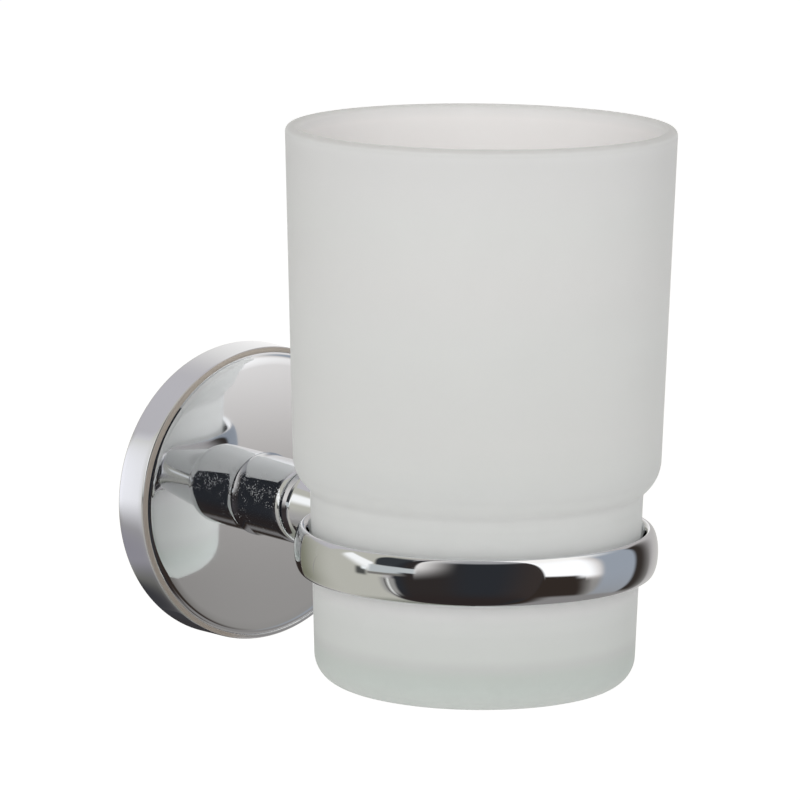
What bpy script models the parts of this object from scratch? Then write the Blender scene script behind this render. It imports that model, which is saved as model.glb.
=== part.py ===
# Wall-mounted toothbrush holder: a frosted glass tumbler hung in a chrome ring on a round wall flange.
# Metres, +Z up. The wall is the plane y = 0 and the user stands on the -Y side.
# The origin is the centre of the wall plate's back face, on the axis of the flange, the hub and the arm.
# Pieces on that axis are drawn with their height along the axis, measured from the wall ("reach").

import math

import bmesh
import bpy
from mathutils import Matrix, Vector

for old_object in list(bpy.data.objects):
    bpy.data.objects.remove(old_object, do_unlink=True)

# Fits
seat_gap = 0.0003            # between two pieces that touch or screw together
cut_overrun = 0.0010         # how far a cutter runs past the face that it cuts
merge_distance = 0.00001

# Tumbler: frosted glass, pressed, with a wide body over a slimmer neck that sits in the ring
tumbler_height = 0.0980
tumbler_drop = 0.0236        # how far the foot hangs below the middle of the ring
rim_radius = 0.0340
body_radius = 0.0321         # at the shoulder, where the body is slimmest
neck_radius = 0.02915        # just under the shoulder
foot_radius = 0.0280         # at the foot, before its corner is rounded
neck_height = 0.0342         # from the foot up to the corner between neck and shoulder
shoulder_rise = 0.0029       # height of the sloping shoulder
shoulder_fillet = 0.0070
neck_fillet = 0.0016
foot_fillet = 0.0050
glass_wall = 0.0024
glass_floor = 0.0062         # thickness of the glass at the middle of the foot
floor_fillet = 0.0070        # inside, where the wall meets the floor
punt_radius = 0.0190         # the hollow under the foot, inside the ring that it stands on
punt_depth = 0.0008

# Ring: a bar of oval section bent to a circle
ring_thickness = 0.0028      # across the section, at mid height
ring_height = 0.0082
axis_reach = 0.0696          # from the wall to the tumbler's axis

# Flange cover: a shallow round cup, open to the wall, with a boss inside for the grub screw
cover_radius = 0.0274
cover_depth = 0.0082
cover_wall = 0.0018
cover_face = 0.0020          # thickness of the front
cover_draft = 0.0002         # how much slimmer the side is at the front than at the wall
edge_drop = 0.0002           # how far the rounded edge lies behind the face
edge_fillet = 0.0009
edge_inner_fillet = 0.0003
back_fillet = 0.0003         # on the rim at the wall
inner_fillet = 0.0006
groove_margin = 0.0012       # from the cover's side in to the fine groove that rings the face
groove_width = 0.0003
groove_depth = 0.0003
roll_width = 0.0014          # band inside the groove over which the face rolls down in an arc
roll_drop = 0.0003           # by how much, where the arc's two tangents end
boss_width = 0.0074
boss_length = 0.0050         # from the inside of the side wall towards the axis
boss_back = 0.0010           # how far the boss stays from the wall

# Hub: the barrel on the cover
hub_radius = 0.0074
hub_share = 0.438            # of the way from the cover to the middle of the ring's bar
hub_chamfer_length = 0.0009
hub_chamfer_depth = 0.0007
hub_foot_chamfer = 0.0005

# Arm: spigot in the hub, bead, and a taper to the ring
spigot_radius = 0.0044
spigot_length = 0.0040
bead_inset = 0.0002          # how far the bead lies inside the hub's chamfered end
bead_length = 0.0011
bead_fillet = 0.0005
bead_proud = 0.0004          # how far the bead stands out from the taper
arm_narrow_radius = 0.0036

# Threaded pieces, drawn plain at their outer thread radius
bolt_chamfer = 0.0003        # on the stud and the grub screw
stud_radius = 0.0020
stud_share = 0.633           # length of the stud, of the arm's taper
stud_seat_depth = 0.0017     # blind hole in the ring
screw_radius = 0.0025
screw_engagement = 0.0063    # how far the post screw reaches into the arm
screw_chamfer = 0.0005
head_radius = 0.0043
head_height = 0.0024
head_fillet = 0.0005
head_socket = 0.0015         # half the width across the flats
head_socket_depth = 0.0014
washer_radius = 0.0044
washer_thickness = 0.0011
washer_slit = 0.0008
washer_slit_angle = math.radians(25)
grub_radius = 0.0015
grub_length = 0.0074
grub_sink = 0.0006           # how far it lies inside the cover's side
grub_point_length = 0.0010
grub_point_radius = 0.0004
grub_socket = 0.00075        # half the width across the flats
grub_socket_depth = 0.0020

# Wall plate: a disc that the cover slips over
plate_room = 0.0016          # between the plate and the inside of the cover's face
plate_web_share = 0.714      # metal under the screw head's recess, of the way from the wall to the head
plate_chamfer = 0.0006
recess_margin = 0.0010       # round the post screw's head
slot_pitch_radius = 0.0155
slot_width = 0.0048
slot_half_angle = math.radians(17)
slot_recess_width = 0.0092
slot_recess_floor = 0.0024   # metal left under a wall screw's head

# Facets round a full turn, and on rounded corners and edges
tumbler_steps = 60
ring_steps = 64
ring_section_steps = 14
flange_steps = 56
post_steps = 36
bolt_steps = 20
arc_step = math.radians(22.5)
slot_step = math.radians(9)
sharp_angle = math.radians(32)
whole_edge_share = 0.98      # of an edge that the fillets at its ends may take up together

# Worked out from the sizes above
tumbler_foot = -tumbler_drop
tumbler_rim = tumbler_foot + tumbler_height
neck_corner = tumbler_foot + neck_height
shoulder_corner = neck_corner + shoulder_rise
ring_level_share = tumbler_drop / neck_height
neck_radius_in_ring = foot_radius + (neck_radius - foot_radius) * ring_level_share
ring_bore_radius = neck_radius_in_ring + seat_gap
ring_crest_radius = ring_bore_radius + ring_thickness / 2
ring_outer_radius = ring_bore_radius + ring_thickness

ring_reach = axis_reach - ring_outer_radius
crest_reach = axis_reach - ring_crest_radius

cover_inner_radius = cover_radius - cover_wall
cover_inner_face = cover_depth - cover_face
groove_radius = cover_radius - groove_margin
roll_fillet = roll_width / 2 / math.tan(math.atan2(roll_drop, roll_width / 2) / 2)
hub_start = cover_depth + seat_gap
hub_end = hub_start + (crest_reach - hub_start) * hub_share
bead_start = hub_end + seat_gap
bead_end = bead_start + bead_length
bead_radius = hub_radius - hub_chamfer_depth - bead_inset
arm_wide_radius = bead_radius - bead_proud
spigot_start = bead_start - spigot_length

washer_start = cover_inner_face - seat_gap - washer_thickness
head_top = washer_start - seat_gap
head_bottom = head_top - head_height
screw_tip = spigot_start + screw_engagement
screw_hole_radius = screw_radius + seat_gap
stud_tip = ring_reach + stud_seat_depth - seat_gap
stud_start = stud_tip - (crest_reach - bead_end) * stud_share

plate_radius = cover_inner_radius - seat_gap
plate_thickness = cover_inner_face - plate_room
plate_web = head_bottom * plate_web_share

boss_inner = cover_inner_radius - boss_length
grub_reach = (boss_back + cover_inner_face) / 2
grub_outer = cover_radius - grub_sink
grub_tip = grub_outer - grub_length


parts = bpy.data.collections.new("toothbrush_holder")
cutters = bpy.data.collections.new("cutters")
bpy.context.scene.collection.children.link(parts)
bpy.context.scene.collection.children.link(cutters)


def frame_empty(name, location, rotation):
    """An empty that carries the pieces of one axis."""
    empty = bpy.data.objects.new(name, None)
    empty.location = location
    empty.rotation_euler = rotation
    parts.objects.link(empty)
    return empty


# On the wall axis a piece's own +Z points away from the wall and its +Y points up.
wall_axis = frame_empty("wall_axis", (0, 0, 0), (math.pi / 2, 0, 0))
tumbler_axis = frame_empty("tumbler_axis", (0, -axis_reach, 0), (0, 0, 0))


def rounded_profile(corners, closed=False):
    """Points (radius, height) from corners (radius, height, fillet), with an arc at each fillet."""
    count = len(corners)
    places = [Vector((radius, height)) for radius, height, fillet in corners]
    reaches = []
    turns = []
    for i, (radius, height, fillet) in enumerate(corners):
        at_end = not closed and i in (0, count - 1)
        back = (places[i - 1] - places[i]).normalized()
        ahead = (places[(i + 1) % count] - places[i]).normalized()
        turn = 0.0 if at_end or fillet == 0 else math.pi - back.angle(ahead)
        turns.append(turn)
        reaches.append(fillet * math.tan(turn / 2))
    scales = [1.0] * count
    for i in range(count if closed else count - 1):
        j = (i + 1) % count
        wanted = reaches[i] + reaches[j]
        room = (places[j] - places[i]).length * whole_edge_share
        if wanted > room:
            scales[i] = min(scales[i], room / wanted)
            scales[j] = min(scales[j], room / wanted)
    points = []
    for i in range(count):
        reach = reaches[i] * scales[i]
        if reach == 0:
            points.append(places[i])
            continue
        back = (places[i - 1] - places[i]).normalized()
        ahead = (places[(i + 1) % count] - places[i]).normalized()
        bisector = (back + ahead).normalized()
        radius = reach / math.tan(turns[i] / 2)
        centre = places[i] + bisector * math.hypot(radius, reach)
        spoke = places[i] + back * reach - centre
        side = 1.0 if spoke.cross(places[i] + ahead * reach - centre) > 0 else -1.0
        arc_steps = max(2, math.ceil(turns[i] / arc_step))
        for k in range(arc_steps + 1):
            swing = Matrix.Rotation(side * turns[i] * k / arc_steps, 2)
            points.append(centre + swing @ spoke)
    return points


def turned(name, points, steps, carrier, closed=False, cutter=False):
    """A turned piece: a profile of (radius, height) points taken once round the carrier's Z axis."""
    edges = [(i, i + 1) for i in range(len(points) - 1)]
    if closed:
        edges.append((len(points) - 1, 0))
    mesh = bpy.data.meshes.new(name)
    mesh.from_pydata([(radius, 0, height) for radius, height in points], edges, [])
    piece = bpy.data.objects.new(name, mesh)
    (cutters if cutter else parts).objects.link(piece)
    piece.parent = carrier
    screw = piece.modifiers.new("Turn", "SCREW")
    screw.steps = steps
    screw.render_steps = steps
    screw.use_merge_vertices = True
    screw.merge_threshold = merge_distance
    if cutter:
        piece.hide_render = True
        piece.display_type = "WIRE"
    return piece


def prism(name, sides, radius, start, end, carrier):
    """A cutter: a straight prism or cylinder between two heights on the carrier's Z axis."""
    bpy.ops.mesh.primitive_cylinder_add(vertices=sides, radius=radius, depth=end - start)
    return as_cutter(bpy.context.object, name, (0, 0, (start + end) / 2), (0, 0, 0), carrier)


def block(name, size, centre, rotation, carrier):
    """A box-shaped cutter, or a box to be joined on, with its size set in the mesh."""
    bpy.ops.mesh.primitive_cube_add(size=1)
    piece = bpy.context.object
    for vertex in piece.data.vertices:
        vertex.co = Vector([share * length for share, length in zip(vertex.co, size)])
    return as_cutter(piece, name, centre, rotation, carrier)


def as_cutter(piece, name, location, rotation, carrier):
    """Name a tool body, hang it on its carrier and keep it out of the picture."""
    piece.name = name
    for collection in list(piece.users_collection):
        collection.objects.unlink(piece)
    cutters.objects.link(piece)
    piece.parent = carrier
    piece.location = location
    piece.rotation_euler = rotation
    piece.hide_render = True
    piece.display_type = "WIRE"
    return piece


def arc_slot(name, pitch_radius, width, middle_angle, start, end, carrier):
    """A cutter shaped like a bent slot with round ends, drawn as a flat curve with a thickness."""
    ends = [middle_angle - slot_half_angle, middle_angle + slot_half_angle]
    half_width = width / 2
    steps = math.ceil((ends[1] - ends[0]) / slot_step)
    outline = []
    for radius, first, last in ((pitch_radius + half_width, ends[0], ends[1]),
                                (pitch_radius - half_width, ends[1], ends[0])):
        for k in range(steps + 1):
            angle = first + (last - first) * k / steps
            outline.append(Vector((math.cos(angle), math.sin(angle))) * radius)
        side = 1.0 if last > first else -1.0
        centre = Vector((math.cos(last), math.sin(last))) * pitch_radius
        cap_start = last if side > 0 else last + math.pi
        cap_steps = math.ceil(math.pi / arc_step)
        for k in range(1, cap_steps):
            angle = cap_start + math.pi * k / cap_steps
            outline.append(centre + Vector((math.cos(angle), math.sin(angle))) * half_width)
    curve = bpy.data.curves.new(name, "CURVE")
    curve.dimensions = "2D"
    curve.fill_mode = "BOTH"
    curve.extrude = (end - start) / 2
    spline = curve.splines.new("POLY")
    spline.points.add(len(outline) - 1)
    for point, (x, y) in zip(spline.points, outline):
        point.co = (x, y, 0, 1)
    spline.use_cyclic_u = True
    drawn = bpy.data.objects.new(name + "_curve", curve)
    cutters.objects.link(drawn)
    bpy.context.view_layer.update()
    mesh = bpy.data.meshes.new_from_object(drawn.evaluated_get(bpy.context.evaluated_depsgraph_get()))
    bpy.data.objects.remove(drawn, do_unlink=True)
    welded(mesh)
    piece = bpy.data.objects.new(name, mesh)
    cutters.objects.link(piece)
    return as_cutter(piece, name, (0, 0, (start + end) / 2), (0, 0, 0), carrier)


def welded(mesh):
    """Join the loose caps of a mesh made from a curve."""
    shape = bmesh.new()
    shape.from_mesh(mesh)
    bmesh.ops.remove_doubles(shape, verts=shape.verts, dist=merge_distance)
    bmesh.ops.recalc_face_normals(shape, faces=shape.faces)
    shape.to_mesh(mesh)
    shape.free()


def combine(piece, tool, operation):
    """Cut a tool body from a piece, or join it on."""
    boolean = piece.modifiers.new(tool.name, "BOOLEAN")
    boolean.operation = operation
    boolean.object = tool
    boolean.solver = "EXACT"


def finish(piece, material_name, colour, roughness, metallic, transmission=0.0, ior=1.5):
    """Give a piece its own material, and smooth shading that stops at its sharp edges."""
    bpy.context.view_layer.update()
    mesh = bpy.data.meshes.new_from_object(piece.evaluated_get(bpy.context.evaluated_depsgraph_get()))
    piece.modifiers.clear()
    piece.data = mesh
    mesh.name = piece.name
    mesh.shade_smooth()
    mesh.set_sharp_from_angle(angle=sharp_angle)
    material = bpy.data.materials.new(material_name)
    material.use_nodes = True
    shader = material.node_tree.nodes["Principled BSDF"]
    shader.inputs["Base Color"].default_value = (*colour, 1.0)
    shader.inputs["Roughness"].default_value = roughness
    shader.inputs["Metallic"].default_value = metallic
    shader.inputs["Transmission Weight"].default_value = transmission
    shader.inputs["IOR"].default_value = ior
    mesh.materials.clear()
    mesh.materials.append(material)


def chrome(piece):
    """Polished chrome plating, as on every piece of metal that shows."""
    finish(piece, piece.name + "_chrome", (0.80, 0.80, 0.82), 0.05, 1.0)


def bright_steel(piece):
    """Plain steel, as on the fasteners."""
    finish(piece, piece.name + "_steel", (0.55, 0.56, 0.57), 0.30, 1.0)


def oval_section(crest_radius, half_thickness, half_height):
    """The ring's section: an ellipse that starts at its top and runs down the outside."""
    points = []
    for k in range(ring_section_steps):
        angle = 2 * math.pi * k / ring_section_steps
        points.append((crest_radius + half_thickness * math.sin(angle), half_height * math.cos(angle)))
    return points


def make_tumbler():
    """Frosted glass with an even wall. Its neck tapers, so it seats in the ring."""
    inner_floor = tumbler_foot + glass_floor
    lip = glass_wall / 2
    corners = [
        (0, inner_floor, 0),
        (foot_radius - glass_wall, inner_floor, floor_fillet),
        (neck_radius - glass_wall, neck_corner, neck_fillet + glass_wall),
        (body_radius - glass_wall, shoulder_corner, shoulder_fillet - glass_wall),
        (rim_radius - glass_wall, tumbler_rim, lip),
        (rim_radius, tumbler_rim, lip),
        (body_radius, shoulder_corner, shoulder_fillet),
        (neck_radius, neck_corner, neck_fillet),
        (foot_radius, tumbler_foot, foot_fillet),
        (punt_radius, tumbler_foot, punt_depth),
        (punt_radius - foot_fillet, tumbler_foot + punt_depth, foot_fillet),
        (0, tumbler_foot + punt_depth, 0),
    ]
    piece = turned("tumbler", rounded_profile(corners), tumbler_steps, tumbler_axis)
    finish(piece, "tumbler_frosted_glass", (0.80, 0.82, 0.81), 0.45, 0.0, 0.6, 1.5)


def make_holder_ring():
    """The ring, with a blind hole on the wall side for the stud."""
    section = oval_section(ring_crest_radius, ring_thickness / 2, ring_height / 2)
    piece = turned("holder_ring", section, ring_steps, tumbler_axis, closed=True)
    hole = prism("stud_hole", bolt_steps, stud_radius + seat_gap, ring_reach - cut_overrun,
                 ring_reach + stud_seat_depth, wall_axis)
    combine(piece, hole, "DIFFERENCE")
    chrome(piece)


def make_ring_stud():
    """Threaded stud: brazed in the ring, screwed into the arm."""
    corners = [
        (0, stud_tip, 0),
        (stud_radius - bolt_chamfer, stud_tip, 0),
        (stud_radius, stud_tip - bolt_chamfer, 0),
        (stud_radius, stud_start + bolt_chamfer, 0),
        (stud_radius - bolt_chamfer, stud_start, 0),
        (0, stud_start, 0),
    ]
    bright_steel(turned("ring_stud", rounded_profile(corners), bolt_steps, wall_axis))


def make_arm():
    """Spigot, bead and taper, bored at both ends, with a tip hollowed to lie against the ring."""
    stud_floor = stud_start - seat_gap
    screw_floor = screw_tip + seat_gap
    corners = [
        (0, stud_floor, 0),
        (stud_radius + seat_gap, stud_floor, 0),
        (stud_radius + seat_gap, crest_reach, 0),
        (arm_narrow_radius, crest_reach, 0),
        (arm_wide_radius, bead_end, 0),
        (bead_radius, bead_end, bead_fillet),
        (bead_radius, bead_start, bead_fillet),
        (spigot_radius, bead_start, 0),
        (spigot_radius, spigot_start, 0),
        (screw_hole_radius, spigot_start, 0),
        (screw_hole_radius, screw_floor, 0),
        (0, screw_floor, 0),
    ]
    piece = turned("arm", rounded_profile(corners), post_steps, wall_axis)
    section = oval_section(ring_crest_radius, ring_thickness / 2 + seat_gap, ring_height / 2 + seat_gap)
    tool = turned("ring_clearance", section, ring_steps, tumbler_axis, closed=True, cutter=True)
    combine(piece, tool, "DIFFERENCE")
    chrome(piece)


def make_hub():
    """Barrel with a chamfered end, a bore for the screw and a counterbore for the arm's spigot."""
    counterbore_radius = spigot_radius + seat_gap
    counterbore_floor = spigot_start - seat_gap
    corners = [
        (counterbore_radius, hub_end, 0),
        (hub_radius - hub_chamfer_depth, hub_end, 0),
        (hub_radius, hub_end - hub_chamfer_length, 0),
        (hub_radius, hub_start + hub_foot_chamfer, 0),
        (hub_radius - hub_foot_chamfer, hub_start, 0),
        (screw_hole_radius, hub_start, 0),
        (screw_hole_radius, counterbore_floor, 0),
        (counterbore_radius, counterbore_floor, 0),
    ]
    chrome(turned("hub", rounded_profile(corners, closed=True), post_steps, wall_axis, closed=True))


def make_flange_cover():
    """Shallow cup with a rolled face, a fine groove, a rounded edge and an inner boss for the grub screw."""
    groove_inner = groove_radius - groove_width
    rolled_height = cover_depth - roll_drop
    groove_floor = rolled_height - groove_depth
    edge_height = cover_depth - edge_drop
    corners = [
        (screw_hole_radius, cover_depth, 0),
        (groove_inner - roll_width / 2, cover_depth, roll_fillet),
        (groove_inner, rolled_height, 0),
        (groove_inner, groove_floor, 0),
        (groove_radius, groove_floor, 0),
        (groove_radius, edge_height, edge_inner_fillet),
        (cover_radius - cover_draft, edge_height, edge_fillet),
        (cover_radius, seat_gap, back_fillet),
        (cover_inner_radius, seat_gap, 0),
        (cover_inner_radius, cover_inner_face, inner_fillet),
        (screw_hole_radius, cover_inner_face, 0),
    ]
    profile = rounded_profile(corners, closed=True)
    piece = turned("flange_cover", profile, flange_steps, wall_axis, closed=True)
    boss_outer = cover_inner_radius + cover_wall / 2
    boss_front = cover_inner_face + cover_face / 2
    boss_size = (boss_width, boss_outer - boss_inner, boss_front - boss_back)
    boss_centre = (0, -(boss_outer + boss_inner) / 2, (boss_front + boss_back) / 2)
    boss = block("grub_boss", boss_size, boss_centre, (0, 0, 0), wall_axis)
    combine(piece, boss, "UNION")
    combine(piece, radial_hole("grub_hole", grub_radius + seat_gap, boss_inner - cut_overrun,
                               cover_radius + cut_overrun), "DIFFERENCE")
    chrome(piece)


def radial_hole(name, radius, inner, outer):
    """A cutter that points straight down from the flange's axis, at the grub screw's place."""
    bpy.ops.mesh.primitive_cylinder_add(vertices=bolt_steps, radius=radius, depth=outer - inner)
    centre = (0, -(inner + outer) / 2, grub_reach)
    return as_cutter(bpy.context.object, name, centre, (math.pi / 2, 0, 0), wall_axis)


def make_wall_plate():
    """Disc with a recess for the screw head, arc slots, a notch for the boss and a grub screw seat."""
    recess_radius = head_radius + recess_margin
    corners = [
        (0, plate_web, 0),
        (recess_radius, plate_web, 0),
        (recess_radius, plate_thickness, 0),
        (plate_radius - plate_chamfer, plate_thickness, 0),
        (plate_radius, plate_thickness - plate_chamfer, 0),
        (plate_radius, 0, 0),
        (0, 0, 0),
    ]
    piece = turned("wall_plate", rounded_profile(corners), flange_steps, wall_axis)
    top = plate_thickness + cut_overrun
    for side, middle_angle in (("right", 0.0), ("left", math.pi)):
        combine(piece, arc_slot("slot_" + side, slot_pitch_radius, slot_width, middle_angle,
                                -cut_overrun, top, wall_axis), "DIFFERENCE")
        combine(piece, arc_slot("slot_recess_" + side, slot_pitch_radius, slot_recess_width, middle_angle,
                                slot_recess_floor, top, wall_axis), "DIFFERENCE")
    notch_inner = boss_inner - seat_gap
    notch_outer = plate_radius + cut_overrun
    notch_size = (boss_width + 2 * seat_gap, notch_outer - notch_inner, top + cut_overrun)
    notch_centre = (0, -(notch_outer + notch_inner) / 2, plate_thickness / 2)
    notch = block("boss_notch", notch_size, notch_centre, (0, 0, 0), wall_axis)
    combine(piece, notch, "DIFFERENCE")
    combine(piece, radial_hole("grub_seat", grub_radius, grub_tip - seat_gap, notch_outer), "DIFFERENCE")
    finish(piece, "wall_plate_zinc", (0.62, 0.63, 0.64), 0.45, 1.0)


def make_post_screw():
    """Low-head socket screw: head towards the wall, shank through cover and hub into the arm."""
    corners = [
        (0, screw_tip, 0),
        (screw_radius - screw_chamfer, screw_tip, 0),
        (screw_radius, screw_tip - screw_chamfer, 0),
        (screw_radius, head_top, 0),
        (head_radius, head_top, 0),
        (head_radius, head_bottom, head_fillet),
        (0, head_bottom, 0),
    ]
    piece = turned("post_screw", rounded_profile(corners), bolt_steps, wall_axis)
    socket_radius = head_socket / math.cos(math.pi / 6)
    combine(piece, prism("head_socket", 6, socket_radius, head_bottom - cut_overrun,
                         head_bottom + head_socket_depth, wall_axis), "DIFFERENCE")
    bright_steel(piece)


def make_lock_washer():
    """Split spring washer: a flat ring with a slanted slit."""
    washer_end = washer_start + washer_thickness
    corners = [
        (washer_radius, washer_end, 0),
        (washer_radius, washer_start, 0),
        (screw_hole_radius, washer_start, 0),
        (screw_hole_radius, washer_end, 0),
    ]
    profile = rounded_profile(corners, closed=True)
    piece = turned("lock_washer", profile, bolt_steps, wall_axis, closed=True)
    slit_size = (washer_slit, washer_radius, washer_thickness + 2 * cut_overrun)
    slit_centre = (0, (screw_hole_radius + washer_radius) / 2, (washer_start + washer_end) / 2)
    slit = block("washer_slit", slit_size, slit_centre, (0, washer_slit_angle, 0), wall_axis)
    combine(piece, slit, "DIFFERENCE")
    bright_steel(piece)


def make_grub_screw():
    """Set screw with a socket and a cone point, in the underside of the cover."""
    carrier = frame_empty("grub_axis", (0, -grub_reach, 0), (math.pi, 0, 0))
    point_start = grub_tip + grub_point_length
    corners = [
        (0, grub_outer, 0),
        (grub_radius - bolt_chamfer, grub_outer, 0),
        (grub_radius, grub_outer - bolt_chamfer, 0),
        (grub_radius, point_start, 0),
        (grub_point_radius, grub_tip, 0),
        (0, grub_tip, 0),
    ]
    piece = turned("grub_screw", rounded_profile(corners), bolt_steps, carrier)
    socket_radius = grub_socket / math.cos(math.pi / 6)
    combine(piece, prism("grub_socket", 6, socket_radius, grub_outer - grub_socket_depth,
                         grub_outer + cut_overrun, carrier), "DIFFERENCE")
    bright_steel(piece)


make_wall_plate()
make_flange_cover()
make_grub_screw()
make_lock_washer()
make_post_screw()
make_hub()
make_arm()
make_ring_stud()
make_holder_ring()
make_tumbler()
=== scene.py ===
import math

import bmesh
import bpy
import numpy as np
from mathutils import Matrix, Vector


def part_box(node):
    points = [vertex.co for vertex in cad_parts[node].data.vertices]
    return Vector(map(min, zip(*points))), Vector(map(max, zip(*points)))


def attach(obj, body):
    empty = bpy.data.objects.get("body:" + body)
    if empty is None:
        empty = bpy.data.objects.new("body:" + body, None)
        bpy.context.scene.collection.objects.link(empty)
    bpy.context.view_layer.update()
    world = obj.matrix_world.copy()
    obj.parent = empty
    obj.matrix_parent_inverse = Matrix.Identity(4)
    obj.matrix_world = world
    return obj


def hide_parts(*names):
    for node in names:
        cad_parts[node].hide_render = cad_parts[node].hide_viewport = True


# Wall-mounted toothbrush holder: a frosted glass tumbler that hangs in a chrome ring, on an arm, a hub and
# a round flange. Metres, +Z up, the wall is the plane y = 0. Each piece below is drawn where its node lies.
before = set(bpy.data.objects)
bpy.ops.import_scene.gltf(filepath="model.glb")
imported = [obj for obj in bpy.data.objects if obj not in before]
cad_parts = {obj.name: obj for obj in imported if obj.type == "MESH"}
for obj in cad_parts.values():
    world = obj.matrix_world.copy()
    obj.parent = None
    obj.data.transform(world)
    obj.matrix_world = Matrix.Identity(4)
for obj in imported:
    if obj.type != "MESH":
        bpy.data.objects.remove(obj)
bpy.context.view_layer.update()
print("frame loaded:", len(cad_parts), "nodes")

fits = {
    "seatGap": 0.0003,       # between pieces that touch or screw together
    "axisReach": 0.0696,     # from the wall to the tumbler's axis
    "sides": 288,            # round a full turn
    "boltSides": 96,
    "arcStep": 7,            # degrees
    "arcSteps": 3,           # the fewest on an arc
    "runStep": 0.0012,       # longest step on a straight run, so that flat mirrors stay flat
    "sharpAngle": 28,        # degrees
    "mergeReach": 0.000001,  # within which the corners of a node's loose triangles become one
}

# Each axis takes a piece's own (x, y, height) into the frame: on the wall axis the height runs along -Y and
# the piece's y is up, and the tumbler's axis only moves the piece out from the wall.
wallAxis = Matrix.Rotation(math.radians(90), 4, "X")
tumblerAxis = Matrix.Translation((0, -fits["axisReach"], 0))


# Points of a profile as complex numbers, radius + 1j * height. Each filleted corner becomes an arc that is
# tangent to both of its sides, centre + spoke * exp(1j * turn * share), and each straight run is cut into
# even steps. A corner is (radius, height, fillet).
def roundedProfile(corners, closed=False):
    places = np.array([radius + 1j * height for radius, height, fillet in corners])
    fillets = np.array([fillet for radius, height, fillet in corners])
    ahead = np.roll(places, -1) - places
    ahead /= abs(ahead)
    behind = np.roll(ahead, 1)
    turns = np.angle(ahead / behind)
    if not closed:
        turns[[0, -1]] = 0
    reaches = fillets * np.tan(abs(turns) / 2)
    starts = places - behind * reaches
    ends = places + ahead * reaches
    stretches = []
    for i in range(len(places)):
        if reaches[i] > 0:
            centre = starts[i] + 1j * np.sign(turns[i]) * fillets[i] * behind[i]
            count = max(fits["arcSteps"], math.ceil(math.degrees(abs(turns[i])) / fits["arcStep"]))
            swing = np.exp(1j * turns[i] * np.linspace(0, 1, count + 1))
            stretches.append(centre + (starts[i] - centre) * swing)
        else:
            stretches.append(places[i:i + 1])
        if closed or i < len(places) - 1:
            runEnd = starts[(i + 1) % len(places)]
            count = math.ceil(abs(runEnd - ends[i]) / fits["runStep"])
            stretches.append(np.linspace(ends[i], runEnd, count + 1)[1:-1])
    return np.concatenate(stretches)


# A new object for a mesh, a lamp or a camera, linked to the scene
def linked(name, data):
    piece = bpy.data.objects.new(name, data)
    bpy.context.scene.collection.objects.link(piece)
    return piece


# A surface carried once round an axis. Row by row, the point at angle a is (radius cos a, radius sin a,
# height), where radius and height may change with the angle too. A row of radius zero becomes one point, so
# poles are closed, and a closed profile is joined to its own first row.
def turnedPiece(name, radius, height, axis, closed=False, sides=None):
    sides = sides or fits["sides"]
    angle = np.linspace(0, 2 * math.pi, sides, endpoint=False)
    radius = np.broadcast_to(np.reshape(radius, (len(radius), -1)), (len(radius), sides))
    height = np.broadcast_to(np.reshape(height, (len(height), -1)), (len(height), sides))
    points = np.stack([radius * np.cos(angle), radius * np.sin(angle), height], -1).reshape(-1, 3)
    points = points @ np.array(axis)[:3, :3].T + np.array(axis)[:3, 3]
    poles = radius[:, 0] == 0
    index = np.arange(radius.size).reshape(radius.shape)
    index[poles] = index[poles][:, :1]
    kept, index = np.unique(index, return_inverse=True)
    index = index.reshape(radius.shape)
    upper = index if closed else index[:-1]
    lower = np.roll(index, -1, axis=0) if closed else index[1:]
    quads = np.stack([upper, lower, np.roll(lower, -1, axis=1), np.roll(upper, -1, axis=1)], -1)
    upperPoles = poles if closed else poles[:-1]
    lowerPoles = np.roll(poles, -1) if closed else poles[1:]
    faces = quads[~upperPoles & ~lowerPoles].reshape(-1, 4).tolist()
    faces += quads[upperPoles][..., [0, 1, 2]].reshape(-1, 3).tolist()
    faces += quads[lowerPoles][..., [0, 1, 3]].reshape(-1, 3).tolist()
    mesh = bpy.data.meshes.new(name)
    mesh.from_pydata(points[kept].tolist(), [], faces)
    piece = linked(name, mesh)
    shadeSmooth(piece)
    return piece


# The same, from corners
def turnedFromCorners(name, corners, axis, closed=False, sides=None):
    profile = roundedProfile(corners, closed)
    return turnedPiece(name, profile.real, profile.imag, axis, closed, sides)


# Smooth shading that stops at edges sharper than the limit
def shadeSmooth(piece):
    piece.data.shade_smooth()
    piece.data.set_sharp_from_angle(angle=math.radians(fits["sharpAngle"]))


# Cuts a tool from a piece, or joins it on, and throws the tool away
def combine(piece, tool, operation):
    boolean = piece.modifiers.new("combine", "BOOLEAN")
    boolean.operation = operation
    boolean.object = tool
    bpy.context.view_layer.update()
    mesh = bpy.data.meshes.new_from_object(piece.evaluated_get(bpy.context.evaluated_depsgraph_get()))
    piece.modifiers.clear()
    piece.data = mesh
    mesh.name = piece.name
    bpy.data.objects.remove(tool, do_unlink=True)
    shadeSmooth(piece)


# A box from its lowest to its highest corner, in the frame
def boxTool(name, low, high):
    shape = bmesh.new()
    bmesh.ops.create_cube(shape, size=1)
    centre = [(a + b) / 2 for a, b in zip(low, high)]
    size = [b - a for a, b in zip(low, high)]
    shape.transform(Matrix.LocRotScale(centre, None, size))
    mesh = bpy.data.meshes.new(name)
    shape.to_mesh(mesh)
    shape.free()
    return linked(name, mesh)


# A flat rectangle that faces up, round its own origin
def rectangle(name, halfLength, halfWidth):
    mesh = bpy.data.meshes.new(name)
    corners = [(x * halfLength, y * halfWidth, 0) for x, y in ((-1, -1), (1, -1), (1, 1), (-1, 1))]
    mesh.from_pydata(corners, [], [(0, 1, 2, 3)])
    return linked(name, mesh)


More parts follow.
